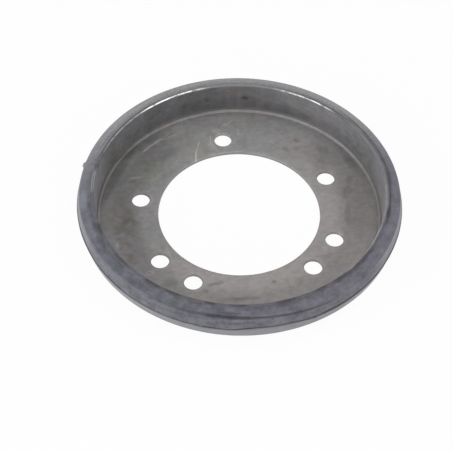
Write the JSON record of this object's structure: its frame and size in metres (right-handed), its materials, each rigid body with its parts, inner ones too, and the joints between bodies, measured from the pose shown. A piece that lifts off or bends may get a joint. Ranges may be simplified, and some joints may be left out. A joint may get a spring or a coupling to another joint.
{
  "type": "traction drive disc",
  "caption": "Pressed steel dish with a large bore, a bolt circle and a rubber friction tread bonded round its wall, for a small friction drive.",
  "frame": {"origin": "on the disc's axis, in the plane of the web's flat underside, which is the lowest face", "axes": "+Z is the disc's axis, from the web towards the open side; +Y points at the bolt hole that both hole patterns share"},
  "size_m": [0.1536, 0.1536, 0.0188],
  "materials": {
    "pressed_steel": "bare hot-rolled sheet, dull grey-brown with stains and handling scratches, dry satin",
    "moulded_rubber": "black rubber with a grey dusty bloom, matt, faint moulding marks"
  },
  "bodies": {
    "root": {"steel_pan": "pressed_steel", "rubber_ring": "moulded_rubber"}
  },
  "joints": []
}
